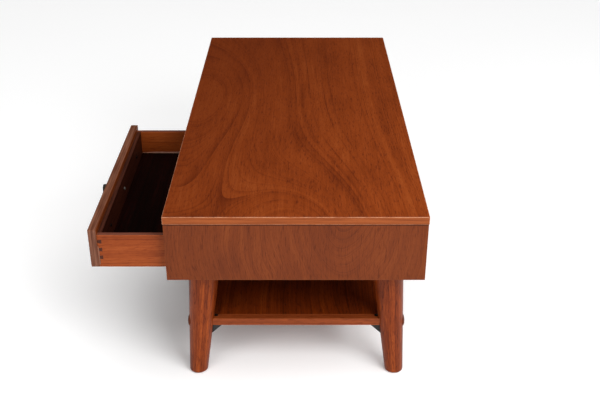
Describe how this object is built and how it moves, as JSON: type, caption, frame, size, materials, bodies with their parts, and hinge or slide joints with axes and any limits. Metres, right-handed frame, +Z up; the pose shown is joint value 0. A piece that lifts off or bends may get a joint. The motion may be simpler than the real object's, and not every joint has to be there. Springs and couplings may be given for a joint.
{
  "type": "coffee table with drawers",
  "caption": "Long low table with drawers along one side, an open shelf below and turned, splayed legs.",
  "frame": {"origin": "on the floor at the centre of the table's top, midway between the four feet", "axes": "+X along the table's length, -Y out of the drawer fronts, +Z up; right is +X as seen by someone facing the drawers"},
  "size_m": [1.214, 0.7505, 0.445],
  "materials": {
    "top_veneer": "figured walnut veneer, satin lacquer",
    "case_veneer": "walnut veneer, satin lacquer",
    "leg_wood": "turned solid walnut, satin lacquer",
    "button_wood": "turned hardwood, satin lacquer",
    "shelf_wood": "walnut veneer with solid lipping, satin lacquer",
    "carcase_wood": "plain hardwood, stained",
    "drawer_front_wood": "walnut, satin lacquer",
    "drawer_side_wood": "stained hardwood, satin lacquer",
    "drawer_bottom_wood": "dark stained plywood",
    "brace_moulding": "black moulding",
    "knob_metal": "gunmetal, satin",
    "black_screw": "blackened steel",
    "bright_steel": "bright zinc plate"
  },
  "bodies": {
    "table": {"back_panel": "case_veneer", "case_bottom": "carcase_wood", "centre_divider": "carcase_wood", "drawer_left_glides": "bright_steel", "drawer_left_guide": "carcase_wood", "drawer_left_stops": "carcase_wood", "drawer_right_glides": "bright_steel", "drawer_right_guide": "carcase_wood", "drawer_right_stops": "carcase_wood", "end_panel_left": "case_veneer", "end_panel_right": "case_veneer", "foot_glides": "bright_steel", "front_top_rail": "case_veneer", "leg_back_left": "leg_wood", "leg_back_right": "leg_wood", "leg_buttons": "button_wood", "leg_front_left": "leg_wood", "leg_front_right": "leg_wood", "leg_hanger_bolts": "bright_steel", "leg_tee_nuts": "bright_steel", "shelf_bolts": "bright_steel", "shelf_brace_back_left": "brace_moulding", "shelf_brace_back_right": "brace_moulding", "shelf_brace_front_left": "brace_moulding", "shelf_brace_front_right": "brace_moulding", "shelf_brace_screws": "black_screw", "shelf_panel": "shelf_wood", "shelf_rail_left": "shelf_wood", "shelf_rail_right": "shelf_wood", "top_fixing_blocks": "carcase_wood", "top_fixing_screws": "bright_steel", "top_panel": "top_veneer"},
    "drawer_right": {"drawer_right_bottom": "drawer_bottom_wood", "drawer_right_box_back": "drawer_side_wood", "drawer_right_box_front": "drawer_side_wood", "drawer_right_front": "drawer_front_wood", "drawer_right_front_screws": "black_screw", "drawer_right_knob": "knob_metal", "drawer_right_knob_screw": "bright_steel", "drawer_right_runner": "carcase_wood", "drawer_right_side_left": "drawer_side_wood", "drawer_right_side_right": "drawer_side_wood"},
    "drawer_left": {"drawer_left_bottom": "drawer_bottom_wood", "drawer_left_box_back": "drawer_side_wood", "drawer_left_box_front": "drawer_side_wood", "drawer_left_front": "drawer_front_wood", "drawer_left_front_screws": "black_screw", "drawer_left_knob": "knob_metal", "drawer_left_knob_screw": "bright_steel", "drawer_left_runner": "carcase_wood", "drawer_left_side_left": "drawer_side_wood", "drawer_left_side_right": "drawer_side_wood"}
  },
  "joints": [
    {"name": "drawer_right_slide", "type": "slide", "parent": "table", "child": "drawer_right", "axis": [0, -1, 0], "range_m": [-0.1655, 0.1345]},
    {"name": "drawer_left_slide", "type": "slide", "parent": "table", "child": "drawer_left", "axis": [0, -1, 0], "range_m": [0, 0.3]}
  ]
}
